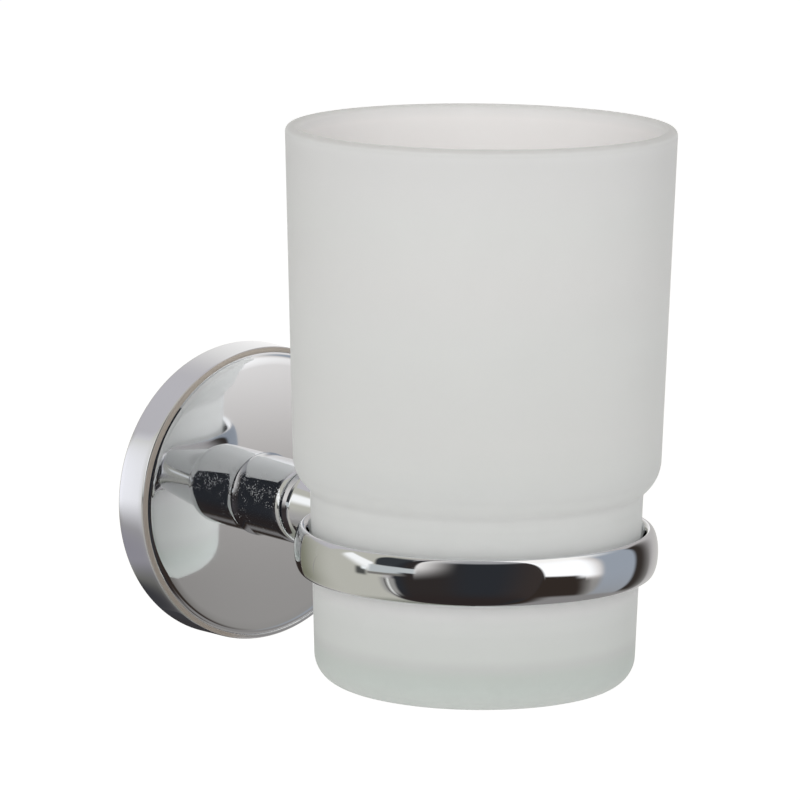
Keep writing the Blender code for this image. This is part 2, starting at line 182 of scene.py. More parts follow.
# A node's own mesh, with its loose triangles merged and shaded smooth
def mergedCopy(node, name):
    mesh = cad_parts[node].data.copy()
    shape = bmesh.new()
    shape.from_mesh(mesh)
    bmesh.ops.remove_doubles(shape, verts=shape.verts, dist=fits["mergeReach"])
    shape.to_mesh(mesh)
    shape.free()
    mesh.name = name
    piece = linked(name, mesh)
    shadeSmooth(piece)
    return piece


# Gives a piece its material, body and slot, and says how far its box differs from the node it stands for
def settle(piece, node, body, material):
    piece.data.materials.clear()
    piece.data.materials.append(material)
    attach(piece, body)
    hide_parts(node)
    corners = np.array([vertex.co for vertex in piece.data.vertices])
    low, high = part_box(node)
    off = max(abs(corners.min(0) - np.array(low)).max(), abs(corners.max(0) - np.array(high)).max())
    print(f"{piece.name}: {len(piece.data.polygons)} faces, box within {off * 1000:.3f} mm of its node")


# A colour as it is written on a screen, #rrggbb in sRGB, turned linear
def linear(colour):
    channels = np.array([int(colour[i:i + 2], 16) for i in (1, 3, 5)]) / 255
    bent = np.where(channels <= 0.04045, channels / 12.92, ((channels + 0.055) / 1.055) ** 2.4)
    return (*bent.tolist(), 1.0)


# Adds a node to a tree, sets its properties, and fills or links its inputs
def addNode(tree, kind, properties=None, inputs=None):
    node = tree.nodes.new(kind)
    for name, value in (properties or {}).items():
        setattr(node, name, value)
    for key, value in (inputs or {}).items():
        if isinstance(value, bpy.types.NodeSocket):
            tree.links.new(value, node.inputs[key])
        else:
            node.inputs[key].default_value = value
    return node


# Properties that many nodes share
smoothstep = {"interpolation_type": "SMOOTHSTEP"}
multiply = {"operation": "MULTIPLY"}
multiplyAdd = {"operation": "MULTIPLY_ADD"}
vectorLength = {"operation": "LENGTH"}
colourMix = {"data_type": "RGBA"}


# An empty node tree of a material or a world
def emptyTree(owner):
    owner.use_nodes = True
    owner.node_tree.nodes.clear()
    return owner.node_tree


# Pattern sizes are in mm and a texture's scale counts per metre, so it is 1000 / size
frostedGlass = {
    # the outside's colour at each height in mm, from the foot to the lip: greener where the glass is thick,
    # and with painted
    # shade and light: darker towards the foot and the lip, and lighter just below and above the ring to
    # cancel its shadow
    "outside": [
        (-23.6, "#dbdfdc"), (-19.4, "#d5dbd7"), (-17.0, "#d4d9d5"), (-15.5, "#d8dad8"), (-14.0, "#dfe2df"),
        (-12.3, "#e1e4e1"), (-10.3, "#e4e7e4"), (-7.8, "#edf0ed"), (-6.2, "#fbfcfa"), (5.0, "#f2f5f2"),
        (8.2, "#ebeeeb"), (10.2, "#f5f8f5"), (12.2, "#eff2ef"), (13.8, "#e4e6e4"), (15.6, "#e4e6e4"),
        (19.0, "#e9ebe8"), (24.0, "#ecedea"), (40.0, "#eceeeb"), (50.0, "#eaeae8"), (61.0, "#e4e5e3"),
        (67.0, "#e1e1e0"), (73.0, "#dcdcdb"), (73.7, "#d4d4d2"), (74.1, "#c4c3c0"), (74.4, "#bcbbb8"),
    ],
    # painted light: the inside is drawn lighter and warmer than the outside, as if lit from behind through
    # the far wall
    "inside": "#f2eeec",
    "insideHeights": (0.0500, 0.0300),          # where the inside's painted light is full, and where it has gone
    "insideTop": (0.0720, 0.0744),              # the same towards the lip
    "insideTaper": (0.0312, 0.02928, 0.03168),  # the wall's slope, its inner and its outer radius at z = 0
    "insideShares": (0.4, 0.2),                 # of the wall, out from its inner side: none, full
    "cloud": 0.03,           # how much the etching's clouds darken it
    "cloudSize": 14.0,       # mm
    "cloudDetail": 2.0,
    "mottle": 0.08,          # the same round the foot, where the etching lies thicker
    "mottleHeights": (-0.0215, -0.0160),
    "mottleSize": 1.6,       # mm
    "mottleDetail": 3.0,
    "mottleRoughness": 0.7,
    "roughness": 0.62,
    "ior": 1.52,
    "scatterReach": 0.0070,  # the same for red, green and blue
    "grainSize": 0.35,       # mm, coarser than real etching so that it shows at all
    "grainDetail": 3.0,
    "grainBump": 0.06,
    "grainDepth": 0.0001,
}


# Soda-lime glass, pressed and then acid-etched inside and out: light scatters through the wall, so that it
# glows evenly, hides what is behind it and has no sharp highlight. Its green shows where it is thick. Its
# colour
# also holds painted shade and light: darker towards the foot and the lip, lighter round the ring, lighter
# inside.
def makeFrostedGlass():
    glass = frostedGlass
    material = bpy.data.materials.new("etchedSodaLimeGlass")
    tree = emptyTree(material)
    place = addNode(tree, "ShaderNodeTexCoord").outputs["Object"]
    parts = addNode(tree, "ShaderNodeSeparateXYZ", None, {"Vector": place}).outputs
    lowest, highest = (glass["outside"][i][0] / 1000 for i in (0, -1))
    rise = addNode(tree, "ShaderNodeMapRange", None, {
        "Value": parts["Z"], "From Min": lowest, "From Max": highest})
    # the ramp paints shade and light by height, darker at the foot and lip and lighter round the ring, as
    # well as the green
    ramp = addNode(tree, "ShaderNodeValToRGB", None, {"Fac": rise.outputs["Result"]})
    stops = ramp.color_ramp.elements
    while len(stops) < len(glass["outside"]):
        stops.new(0.5)       # each gets its own position below
    for stop, (height, colour) in zip(stops, glass["outside"]):
        stop.position = (height / 1000 - lowest) / (highest - lowest)
        stop.color = linear(colour)

    # the inside's painted light goes where the distance from the axis, less the taper, is in the wall's
    # inner part
    axis = addNode(tree, "ShaderNodeVectorMath", multiplyAdd, {
        0: place, 1: (1, 1, 0), 2: (0, fits["axisReach"], 0)})
    away = addNode(tree, "ShaderNodeVectorMath", vectorLength, {0: axis.outputs["Vector"]})
    slope, inner, outer = glass["insideTaper"]
    none, full = (inner + (outer - inner) * share for share in glass["insideShares"])
    across = addNode(tree, "ShaderNodeMath", multiplyAdd, {
        0: parts["Z"], 1: -slope, 2: away.outputs["Value"]})
    mask = addNode(tree, "ShaderNodeMapRange", None, {
        "Value": across.outputs["Value"], "From Min": none, "From Max": full})
    full, none = glass["insideHeights"]
    reach = addNode(tree, "ShaderNodeMapRange", smoothstep, {
        "Value": parts["Z"], "From Min": none, "From Max": full})
    mask = addNode(tree, "ShaderNodeMath", multiply, {
        0: mask.outputs["Result"], 1: reach.outputs["Result"]})
    full, none = glass["insideTop"]
    lip = addNode(tree, "ShaderNodeMapRange", None, {
        "Value": parts["Z"], "From Min": none, "From Max": full})
    mask = addNode(tree, "ShaderNodeMath", multiply, {
        0: mask.outputs["Value"], 1: lip.outputs["Result"]})
    # mixes in the inside's painted light
    colour = addNode(tree, "ShaderNodeMix", colourMix, {
        "Factor": mask.outputs["Value"], "A": ramp.outputs["Color"], "B": linear(glass["inside"])})

    cloud = addNode(tree, "ShaderNodeTexNoise", None, {
        "Vector": place, "Scale": 1000 / glass["cloudSize"], "Detail": glass["cloudDetail"]})
    cloud = addNode(tree, "ShaderNodeMath", multiply, {0: cloud.outputs["Fac"], 1: glass["cloud"]})
    mottle = addNode(tree, "ShaderNodeTexNoise", None, {
        "Vector": place, "Scale": 1000 / glass["mottleSize"], "Detail": glass["mottleDetail"],
        "Roughness": glass["mottleRoughness"]})
    full, none = glass["mottleHeights"]
    reach = addNode(tree, "ShaderNodeMapRange", smoothstep, {
        "Value": parts["Z"], "From Min": none, "From Max": full, "To Max": glass["mottle"]})
    shade = addNode(tree, "ShaderNodeMath", multiplyAdd, {
        0: mottle.outputs["Fac"], 1: reach.outputs["Result"], 2: cloud.outputs["Value"]})
    colour = addNode(tree, "ShaderNodeMix", colourMix, {
        "Factor": shade.outputs["Value"], "A": colour.outputs["Result"], "B": linear("#000000")})

    grain = addNode(tree, "ShaderNodeTexNoise", None, {
        "Vector": place, "Scale": 1000 / glass["grainSize"], "Detail": glass["grainDetail"]})
    bump = addNode(tree, "ShaderNodeBump", None, {
        "Height": grain.outputs["Fac"], "Strength": glass["grainBump"], "Distance": glass["grainDepth"]})
    shader = addNode(tree, "ShaderNodeBsdfPrincipled", None, {
        "Base Color": colour.outputs["Result"], "Roughness": glass["roughness"],
        "IOR": glass["ior"], "Subsurface Weight": 1.0, "Subsurface Radius": (1.0, 1.0, 1.0),
        "Subsurface Scale": glass["scatterReach"], "Normal": bump.outputs["Normal"]})
    addNode(tree, "ShaderNodeOutputMaterial", None, {"Surface": shader.outputs["BSDF"]})
    return material


chromePlate = {
    "colour": "#e1e2e4",
    "polish": 0.035,
    "haze": 0.030,
    "hazeSize": 9.0,         # mm
    "hazeDetail": 4.0,
    "hazeRoughness": 0.6,
    "hazeLimits": (0.45, 0.75),       # of the noise: clear below, hazy above
    "fleckGrid": 0.36,       # mm, the grid on which flecks lie
    "fleckRadius": 0.52,     # of the largest fleck, as a share of the grid
    "fleckPatch": 1.9,       # mm, the clusters in which they come
    "patchDetail": 2.0,
    "patchLimits": (0.56, 0.74),      # of the clusters' noise: no flecks below, the largest above
    "patchLift": 0.25,       # added to that noise at the heights where drops dry on a post
    "fleckHeights": (0.0058, 0.0028, -0.0024),  # none above, most, none below
    "fleck": {"colour": "#d2d4d6", "metal": 0.30, "roughness": 0.55},
    # what isn't metal there is tarnish, which looks the same from all sides
    "worn": {"colour": "#b6aca2", "metal": 0.40, "roughness": 0.42},
    "wornRadii": (0.02622, 0.02632),  # no wear and full wear, from the wall axis
    "wornReaches": (0.0074, 0.0077),  # the same from the wall, on the front corner
    "wornBack": (0.0007, 0.0004),     # and on the back corner
    "keptSide": (0.5, 0, -0.866),     # towards the low right, where the corner kept its shine
    "keptReaches": (0.0228, 0.0175),  # that way from the wall axis: no wear, full wear
}


# Chromium electroplate over polished brass: a near mirror with a cool cast and a faint haze from handling.
# The small casting is flecked with dried water spots, which stay pale where it mirrors something dark. On
# the flange's corners the plate is buffed thin, and tarnished brass shows through as a tan line.
def makeChromePlate(name, flecked=False, worn=False):
    plate = chromePlate
    material = bpy.data.materials.new(name)
    tree = emptyTree(material)
    place = addNode(tree, "ShaderNodeTexCoord").outputs["Object"]
    parts = addNode(tree, "ShaderNodeSeparateXYZ", None, {"Vector": place}).outputs
    cloud = addNode(tree, "ShaderNodeTexNoise", None, {
        "Vector": place, "Scale": 1000 / plate["hazeSize"], "Detail": plate["hazeDetail"],
        "Roughness": plate["hazeRoughness"]})
    clear, hazy = plate["hazeLimits"]
    roughness = addNode(tree, "ShaderNodeMapRange", None, {
        "Value": cloud.outputs["Fac"], "From Min": clear, "From Max": hazy,
        "To Min": plate["polish"], "To Max": plate["polish"] + plate["haze"]})
    shine = linear(plate["colour"])
    inputs = {"Base Color": shine, "Metallic": 1.0, "Roughness": roughness.outputs["Result"]}
    if flecked:
        top, most, bottom = plate["fleckHeights"]
        above, below = (addNode(tree, "ShaderNodeMapRange", None, {
            "Value": parts["Z"], "From Min": end, "From Max": most}) for end in (top, bottom))
        zone = addNode(tree, "ShaderNodeMath", multiply, {
            0: above.outputs["Result"], 1: below.outputs["Result"]})
        patch = addNode(tree, "ShaderNodeTexNoise", None, {
            "Vector": place, "Scale": 1000 / plate["fleckPatch"], "Detail": plate["patchDetail"]})
        patch = addNode(tree, "ShaderNodeMath", multiplyAdd, {
            0: zone.outputs["Value"], 1: plate["patchLift"], 2: patch.outputs["Fac"]})
        none, largest = plate["patchLimits"]
        radius = addNode(tree, "ShaderNodeMapRange", None, {
            "Value": patch.outputs["Value"], "From Min": none, "From Max": largest, "To Min": 0.0,
            "To Max": plate["fleckRadius"]})
        cells = addNode(tree, "ShaderNodeTexVoronoi", None, {
            "Vector": place, "Scale": 1000 / plate["fleckGrid"]})
        fleck = addNode(tree, "ShaderNodeMapRange", smoothstep, {
            "Value": cells.outputs["Distance"], "From Min": 0.0, "From Max": radius.outputs["Result"],
            "To Min": 1.0, "To Max": 0.0})
        share = fleck.outputs["Result"]
        look = plate["fleck"]
    if worn:
        flat = addNode(tree, "ShaderNodeVectorMath", multiply, {0: place, 1: (1, 0, 1)})
        away = addNode(tree, "ShaderNodeVectorMath", vectorLength, {0: flat.outputs["Vector"]})
        aside = addNode(tree, "ShaderNodeVectorMath", {"operation": "DOT_PRODUCT"}, {
            0: place, 1: plate["keptSide"]})
        limits = (
            (away.outputs["Value"], *plate["wornRadii"]),
            (parts["Y"], *(-reach for reach in plate["wornReaches"])),
            (parts["Y"], *(-reach for reach in plate["wornBack"])),
            (aside.outputs["Value"], *plate["keptReaches"]),
        )
        outer, front, behind, kept = (addNode(tree, "ShaderNodeMapRange", smoothstep, {
            "Value": value, "From Min": none, "From Max": full}).outputs["Result"]
            for value, none, full in limits)
        ends = addNode(tree, "ShaderNodeMath", {"operation": "MAXIMUM"}, {0: front, 1: behind})
        corner = addNode(tree, "ShaderNodeMath", multiply, {0: outer, 1: kept})
        edge = addNode(tree, "ShaderNodeMath", multiply, {
            0: corner.outputs["Value"], 1: ends.outputs["Value"]})
        share = edge.outputs["Value"]
        look = plate["worn"]
    if flecked or worn:      # both blend the plate's colour, metal and roughness with their own
        colour = addNode(tree, "ShaderNodeMix", colourMix, {
            "Factor": share, "A": shine, "B": linear(look["colour"])})
        metal = addNode(tree, "ShaderNodeMapRange", None, {
            "Value": share, "To Min": 1.0, "To Max": look["metal"]})
        matt = addNode(tree, "ShaderNodeMix", {"data_type": "FLOAT"}, {
            "Factor": share, "A": roughness.outputs["Result"], "B": look["roughness"]})
        inputs = {"Base Color": colour.outputs["Result"], "Metallic": metal.outputs["Result"],
                  "Roughness": matt.outputs["Result"]}
    shader = addNode(tree, "ShaderNodeBsdfPrincipled", None, inputs)
    addNode(tree, "ShaderNodeOutputMaterial", None, {"Surface": shader.outputs["BSDF"]})
    return material


turnedSteel = {
    "colour": "#b9babb",
    "roughness": 0.28,
    "markSpacing": 0.754,    # mm, coarser than real turning marks so that they show at all
    "waveRepeat": 2 * math.pi / 20,   # how far apart the rings of a wave texture of scale 1 lie
    "markWander": 0.6,
    "markBump": 0.25,
    "markDepth": 0.00002,
}


# Stainless steel turned from bar: fine rings from the tool, and a soft shine
def makeTurnedSteel():
    material = bpy.data.materials.new("turnedStainlessSteel")
    tree = emptyTree(material)
    place = addNode(tree, "ShaderNodeTexCoord").outputs["Object"]
    marks = addNode(tree, "ShaderNodeTexWave", {"wave_type": "RINGS", "rings_direction": "Y"}, {
        "Vector": place, "Scale": turnedSteel["waveRepeat"] * 1000 / turnedSteel["markSpacing"],
        "Distortion": turnedSteel["markWander"]})
    bump = addNode(tree, "ShaderNodeBump", None, {
        "Height": marks.outputs["Fac"], "Strength": turnedSteel["markBump"],
        "Distance": turnedSteel["markDepth"]})
    shader = addNode(tree, "ShaderNodeBsdfPrincipled", None, {
        "Base Color": linear(turnedSteel["colour"]), "Metallic": 1.0,
        "Roughness": turnedSteel["roughness"], "Normal": bump.outputs["Normal"]})
    addNode(tree, "ShaderNodeOutputMaterial", None, {"Surface": shader.outputs["BSDF"]})
    return material


castZinc = {
    "light": "#c3c4c4",
    "dark": "#9fa1a3",
    "roughness": 0.46,
    "cloudSize": 6.0,        # mm
    "cloudDetail": 5.0,
    "grainSize": 0.5,        # mm
    "grainDetail": 2.0,
    "grainBump": 0.5,
    "grainDepth": 0.00004,
}


# Die-cast zinc alloy, left as it came from the die: matt grey with a fine pebbled grain and darker clouds
def makeCastZinc():
    material = bpy.data.materials.new("dieCastZinc")
    tree = emptyTree(material)
    place = addNode(tree, "ShaderNodeTexCoord").outputs["Object"]
    cloud = addNode(tree, "ShaderNodeTexNoise", None, {
        "Vector": place, "Scale": 1000 / castZinc["cloudSize"], "Detail": castZinc["cloudDetail"]})
    grain = addNode(tree, "ShaderNodeTexNoise", None, {
        "Vector": place, "Scale": 1000 / castZinc["grainSize"], "Detail": castZinc["grainDetail"]})
    colour = addNode(tree, "ShaderNodeMix", colourMix, {
        "Factor": cloud.outputs["Fac"], "A": linear(castZinc["dark"]), "B": linear(castZinc["light"])})
    bump = addNode(tree, "ShaderNodeBump", None, {
        "Height": grain.outputs["Fac"], "Strength": castZinc["grainBump"],
        "Distance": castZinc["grainDepth"]})
    shader = addNode(tree, "ShaderNodeBsdfPrincipled", None, {
        "Base Color": colour.outputs["Result"], "Metallic": 1.0,
        "Roughness": castZinc["roughness"], "Normal": bump.outputs["Normal"]})
    addNode(tree, "ShaderNodeOutputMaterial", None, {"Surface": shader.outputs["BSDF"]})
    return material


glassFinish = makeFrostedGlass()
chromeFinish = makeChromePlate("chromePlatedBrass")
castChromeFinish = makeChromePlate("chromePlatedCasting", flecked=True)
wornChromeFinish = makeChromePlate("chromePlatedSpinning", worn=True)
steelFinish = makeTurnedSteel()
zincFinish = makeCastZinc()
print("materials made")

tumbler = {
    "rimRadius": 0.0340,
    "bodyRadius": 0.0321,    # at the shoulder
    "neckRadius": 0.02915,   # just under the shoulder
    "footRadius": 0.0280,
    "rim": 0.0744,           # heights from the middle of the ring
    "shoulder": 0.0135,
    "neck": 0.0106,
    "foot": -0.0236,
    "wall": 0.0024,
    "floor": 0.0062,
    "lipShare": 0.49,        # of the wall, for each of the lip's two fillets
    "shoulderFillet": 0.0070,
    "neckFillet": 0.0016,
    "footFillet": 0.0050,
    "floorFillet": 0.0070,
    "puntRadius": 0.0190,
    "puntDepth": 0.0008,
}


# A hollow profile turned round the tumbler's axis: out along the floor, up the inner wall, over the lip,
# down the outer wall and under the foot to the punt. The inner wall is the outer one less its thickness.
def makeTumbler():
    t = tumbler
    lip = t["wall"] * t["lipShare"]
    corners = [
        (0, t["foot"] + t["floor"], 0),
        (t["footRadius"] - t["wall"], t["foot"] + t["floor"], t["floorFillet"]),
        (t["neckRadius"] - t["wall"], t["neck"], t["neckFillet"] + t["wall"]),
        (t["bodyRadius"] - t["wall"], t["shoulder"], t["shoulderFillet"] - t["wall"]),
        (t["rimRadius"] - t["wall"], t["rim"], lip),
        (t["rimRadius"], t["rim"], lip),
        (t["bodyRadius"], t["shoulder"], t["shoulderFillet"]),
        (t["neckRadius"], t["neck"], t["neckFillet"]),
        (t["footRadius"], t["foot"], t["footFillet"]),
        (t["puntRadius"], t["foot"], t["puntDepth"]),
        (t["puntRadius"] - t["footFillet"], t["foot"] + t["puntDepth"], t["footFillet"]),
        (0, t["foot"] + t["puntDepth"], 0),
    ]
    piece = turnedFromCorners("frosted_tumbler", corners, tumblerAxis)
    settle(piece, "tumbler", "tumbler", glassFinish)


makeTumbler()

ring = {
    "barThickness": 0.0028,
    "barHeight": 0.0082,
    "barSteps": 72,          # round the bar's oval section
    "studHole": 0.0023,      # radius
    "studHoleDepth": 0.0017,
}
# the bore follows the neck's taper at the ring's own height
neckShare = -tumbler["foot"] / (tumbler["neck"] - tumbler["foot"])
neckTaper = tumbler["neckRadius"] - tumbler["footRadius"]
ringBore = tumbler["footRadius"] + neckTaper * neckShare + fits["seatGap"]
ringCrest = ringBore + ring["barThickness"] / 2
ringReach = fits["axisReach"] - ringBore - ring["barThickness"]


# An oval bar bent to a circle: radius = crest + half thickness * sin t, height = half height * cos t
def makeRing():
    t = np.linspace(0, 2 * math.pi, ring["barSteps"], endpoint=False)
    radius = ringCrest + ring["barThickness"] / 2 * np.sin(t)
    height = ring["barHeight"] / 2 * np.cos(t)
    piece = turnedPiece("chrome_holder_ring", radius, height, tumblerAxis, closed=True)
    hole = [
        (0, ringReach + ring["studHoleDepth"], 0),
        (ring["studHole"], ringReach + ring["studHoleDepth"], 0),
        (ring["studHole"], ringReach - ring["studHoleDepth"], 0),
        (0, ringReach - ring["studHoleDepth"], 0),
    ]
    combine(piece, turnedFromCorners("stud_hole", hole, wallAxis, sides=fits["boltSides"]), "DIFFERENCE")
    settle(piece, "holder_ring", "holder", chromeFinish)


makeRing()

hub = {
    "radius": 0.0074,
    "start": 0.0085,         # reaches are measured from the wall
    "foot": 0.0083,          # drawn closer to the flange, so that the seam is a hairline
    "share": 0.438,          # of the way from its start to the middle of the ring's bar
    "endBevel": (0.0009, 0.00025),
    "footFlare": (0.0010, 0.00032),
    "cornerFillet": 0.0001,
    "screwHole": 0.0028,
    "spigotBore": 0.0047,
    "spigotLength": 0.0040,
}
crestReach = fits["axisReach"] - ringCrest
hubEnd = hub["start"] + (crestReach - hub["start"]) * hub["share"]
beadStart = hubEnd + fits["seatGap"]
spigotStart = beadStart - hub["spigotLength"]


# A closed profile turned round the wall axis: the bevelled end, the barrel down to its flared foot, then
# back up the screw's hole and the spigot's bore
def makeHub():
    bevelLength, bevelDepth = hub["endBevel"]
    flareLength, flareDepth = hub["footFlare"]
    fillet = hub["cornerFillet"]
    boreFloor = spigotStart - fits["seatGap"]
    corners = [
        (hub["spigotBore"], hubEnd, 0),
        (hub["radius"] - bevelDepth, hubEnd, fillet),
        (hub["radius"], hubEnd - bevelLength, 0),
        (hub["radius"], hub["foot"] + flareLength, 0),
        (hub["radius"] + flareDepth, hub["foot"] + fillet, 0),
        (hub["radius"] + flareDepth - fillet, hub["foot"], 0),
        (hub["screwHole"], hub["foot"], 0),
        (hub["screwHole"], boreFloor, 0),
        (hub["spigotBore"], boreFloor, 0),
    ]
    piece = turnedFromCorners("chrome_hub", corners, wallAxis, closed=True)
    settle(piece, "hub", "holder", castChromeFinish)


makeHub()

arm = {
    "spigotRadius": 0.0044,
    "beadRadius": 0.0068,
    "beadLength": 0.0011,
    "beadBand": 0.0001,      # before the bead slopes down to the taper
    "beadLap": 0.0002,       # drawn closer to the hub, so that the seam is a hairline
    "wideRadius": 0.0061,
    "narrowRadius": 0.0036,
    "tipRounds": 12,         # after which the taper's radius where it meets the bar has settled
    "taperRows": 40,
    "tipRows": 8,
    "screwDepth": 0.0066,    # from the spigot's end to the screw hole's floor
    "studShare": 0.633,      # length of the stud, of the taper
}


# How far from the wall the ring's bar, grown by the seat gap, is met above (x, z): the bar's outer side is
# crest + half thickness * sqrt(1 - (z / half height)^2) away from the tumbler's axis.
def barReach(x, z):
    halfThickness = ring["barThickness"] / 2 + fits["seatGap"]
    halfHeight = ring["barHeight"] / 2 + fits["seatGap"]
    away = ringCrest + halfThickness * np.sqrt(1 - (z / halfHeight) ** 2)
    return fits["axisReach"] - np.sqrt(away ** 2 - x ** 2)


# Spigot and bead as a turned profile, then the taper, whose rows run from the bead to where each of its
# lines meets the bar, then the hollowed tip, the stud's hole and the screw's hole
def makeArm():
    beadEnd = beadStart + arm["beadLength"]
    angle = np.linspace(0, 2 * math.pi, fits["sides"], endpoint=False)
    tipRadius = np.full_like(angle, arm["narrowRadius"])
    for _ in range(arm["tipRounds"]):
        tipReach = barReach(tipRadius * np.cos(angle), tipRadius * np.sin(angle))
        share = (tipReach - beadEnd) / (crestReach - beadEnd)
        tipRadius = arm["wideRadius"] + (arm["narrowRadius"] - arm["wideRadius"]) * share
    shares = np.linspace(0, 1, arm["taperRows"])[:, None]
    taperReach = beadEnd + (tipReach - beadEnd) * shares
    taperRadius = arm["wideRadius"] + (tipRadius - arm["wideRadius"]) * shares
    holeRadius = ring["studHole"]
    shares = np.linspace(0, 1, arm["tipRows"])[1:, None]
    faceRadius = tipRadius + (holeRadius - tipRadius) * shares
    faceReach = barReach(faceRadius * np.cos(angle), faceRadius * np.sin(angle))
    studTip = ringReach + ring["studHoleDepth"] - fits["seatGap"]
    studFloor = studTip - (crestReach - beadEnd) * arm["studShare"] - fits["seatGap"]
    screwFloor = spigotStart + arm["screwDepth"]
    wallSide = roundedProfile([
        (0, screwFloor, 0),
        (hub["screwHole"], screwFloor, 0),
        (hub["screwHole"], spigotStart, 0),
        (arm["spigotRadius"], spigotStart, 0),
        (arm["spigotRadius"], beadStart - arm["beadLap"], 0),
        (arm["beadRadius"], beadStart - arm["beadLap"], 0),
        (arm["beadRadius"], beadStart + arm["beadBand"], 0),
        (arm["wideRadius"], beadEnd, 0),
    ])[:-1]
    wide = np.ones_like(angle)
    radius = np.concatenate([
        wallSide.real[:, None] * wide, taperRadius, faceRadius, [holeRadius * wide], [0 * wide]])
    reach = np.concatenate([
        wallSide.imag[:, None] * wide, taperReach, faceReach, [studFloor * wide], [studFloor * wide]])
    piece = turnedPiece("chrome_arm", radius[::-1], reach[::-1], wallAxis)
    settle(piece, "arm", "holder", chromeFinish)


makeArm()

flange = {
    "radius": 0.0274,
    "depth": 0.0082,
    "wall": 0.0018,
    "face": 0.0020,          # thickness
    "draft": 0.0002,         # by which the front is narrower than the foot
    "edgeDrop": 0.0002,      # how far the edge outside the groove lies behind the face
    "edgeFillet": 0.0009,
    "edgeInnerFillet": 0.0003,
    "backFillet": 0.0003,
    "innerFillet": 0.0006,
    "grooveMargin": 0.0012,  # from the side to the groove
    "grooveWidth": 0.0003,
    "grooveDepth": 0.0003,
    "rollWidth": 0.0008,
    "rollDrop": 0.0002,      # how far the face rolls down towards the groove
    "bossWidth": 0.0074,
    "bossLength": 0.0050,
    "bossBack": 0.0010,      # from the wall
    "grubHole": 0.0018,      # radius
}
innerFace = flange["depth"] - flange["face"]
innerRadius = flange["radius"] - flange["wall"]
grubReach = (flange["bossBack"] + innerFace) / 2


# A closed profile turned round the wall axis: the face, which rolls down in an arc to the groove, then the
# rounded edge, the side and the hollow back. The arc's radius is half the roll's width over the tangent of
# half its angle. Inside, a box is joined on as a boss, and the grub screw's hole is cut through it.
def makeFlange():
    f = flange
    grooveOuter = f["radius"] - f["grooveMargin"]
    grooveInner = grooveOuter - f["grooveWidth"]
    rolled = f["depth"] - f["rollDrop"]
    edge = f["depth"] - f["edgeDrop"]
    halfRoll = f["rollWidth"] / 2
    rollFillet = halfRoll / math.tan(math.atan2(f["rollDrop"], halfRoll) / 2)
    corners = [
        (hub["screwHole"], f["depth"], 0),
        (grooveInner - halfRoll, f["depth"], rollFillet),
        (grooveInner, rolled, 0),
        (grooveInner, rolled - f["grooveDepth"], 0),
        (grooveOuter, rolled - f["grooveDepth"], 0),
        (grooveOuter, edge, f["edgeInnerFillet"]),
        (f["radius"] - f["draft"], edge, f["edgeFillet"]),
        (f["radius"], fits["seatGap"], f["backFillet"]),
        (innerRadius, fits["seatGap"], 0),
        (innerRadius, innerFace, f["innerFillet"]),
        (hub["screwHole"], innerFace, 0),
    ]
    piece = turnedFromCorners("chrome_flange_cover", corners, wallAxis, closed=True)
    bossInner = innerRadius - f["bossLength"]
    bossOuter = innerRadius + f["wall"] / 2
    bossFront = innerFace + f["face"] / 2
    boss = boxTool("boss", (-f["bossWidth"] / 2, -bossFront, -bossOuter),
                   (f["bossWidth"] / 2, -f["bossBack"], -bossInner))
    combine(piece, boss, "UNION")
    hole = [
        (0, -bossInner + f["wall"], 0),
        (f["grubHole"], -bossInner + f["wall"], 0),
        (f["grubHole"], -f["radius"] - f["wall"], 0),
        (0, -f["radius"] - f["wall"], 0),
    ]
    below = Matrix.Translation((0, -grubReach, 0))
    combine(piece, turnedFromCorners("grub_hole", hole, below, sides=fits["boltSides"]), "DIFFERENCE")
    settle(piece, "flange_cover", "holder", wornChromeFinish)


makeFlange()

settle(mergedCopy("wall_plate", "zinc_wall_plate"), "wall_plate", "holder", zincFinish)
for node in ("grub_screw", "post_screw", "lock_washer", "ring_stud"):
    settle(mergedCopy(node, "steel_" + node), node, "holder", steelFinish)
print("pieces made")

view = {
    "azimuth": -38.576,      # degrees, from straight at the wall towards the left
    "elevation": 9.888,
    "roll": 0.609,
    "distance": 0.97261,
    "target": (0, -0.040, 0.015),
    "right": 0.00488,        # slides of the camera across its own view
    "up": 0.00700,
    "lens": 244.67,          # mm, on a sensor 36 mm wide
    "sensor": 36.0,
    "nearest": 0.05,
}
azimuth = math.radians(view["azimuth"])
elevation = math.radians(view["elevation"])
level = Vector((math.sin(azimuth), -math.cos(azimuth), 0))    # towards the camera, but level
back = level * math.cos(elevation) + Vector((0, 0, math.sin(elevation)))


# Looks back along its own place, with its right side level but for the roll
def makeCamera():
    right = (-back).cross(Vector((0, 0, 1))).normalized()
    up = right.cross(-back)
    aim = Vector(view["target"]) + right * view["right"] + up * view["up"]
    turn = Matrix((right, up, back)).transposed() @ Matrix.Rotation(math.radians(view["roll"]), 3, "Z")
    data = bpy.data.cameras.new("photoCamera")
    data.lens = view["lens"]
    data.sensor_width = view["sensor"]
    data.clip_start = view["nearest"]
    camera = linked("photoCamera", data)
    camera.matrix_world = Matrix.Translation(aim + back * view["distance"]) @ turn.to_4x4()
    bpy.context.scene.camera = camera


makeCamera()
bpy.context.scene.view_settings.view_transform = "Standard"


# The direction at an azimuth from the camera, positive to its right, and an elevation, both in degrees
def towards(turn, rise):
    turn = math.radians(turn) + math.atan2(level.y, level.x)
    rise = math.radians(rise)
    return Vector((math.cos(turn) * math.cos(rise), math.sin(turn) * math.cos(rise), math.sin(rise)))


# Hides a piece of the studio from all rays but those that mirrors send
def showToMirrorsOnly(piece):
    for ray in ("camera", "diffuse", "transmission", "volume_scatter", "shadow"):
        setattr(piece, "visible_" + ray, False)


